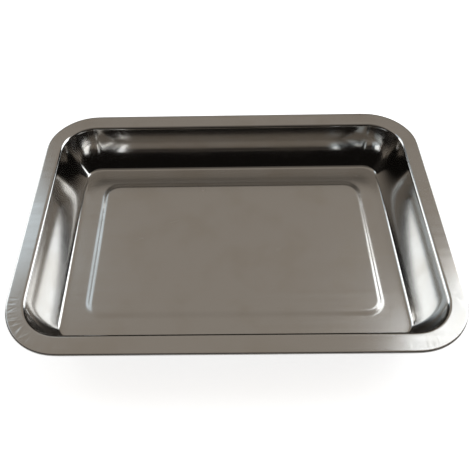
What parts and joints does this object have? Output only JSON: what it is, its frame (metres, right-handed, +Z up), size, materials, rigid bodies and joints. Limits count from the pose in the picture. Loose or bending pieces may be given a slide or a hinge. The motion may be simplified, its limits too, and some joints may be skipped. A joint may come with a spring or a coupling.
{
  "type": "oil drain pan",
  "caption": "Shallow rectangular pan drawn from one stainless sheet, with a flat rim, a rolled edge and a raised floor panel. It catches oil drained from an engine.",
  "frame": {"origin": "centre of the footprint, on the surface that the pan rests on", "axes": "+X along the long side, +Y along the short side, +Z up out of the open mouth"},
  "size_m": [0.4, 0.295, 0.048],
  "materials": {
    "stainless_sheet": "satin floor and rim, brighter drawn walls"
  },
  "bodies": {
    "root": {"drain_pan": "stainless_sheet"}
  },
  "joints": []
}
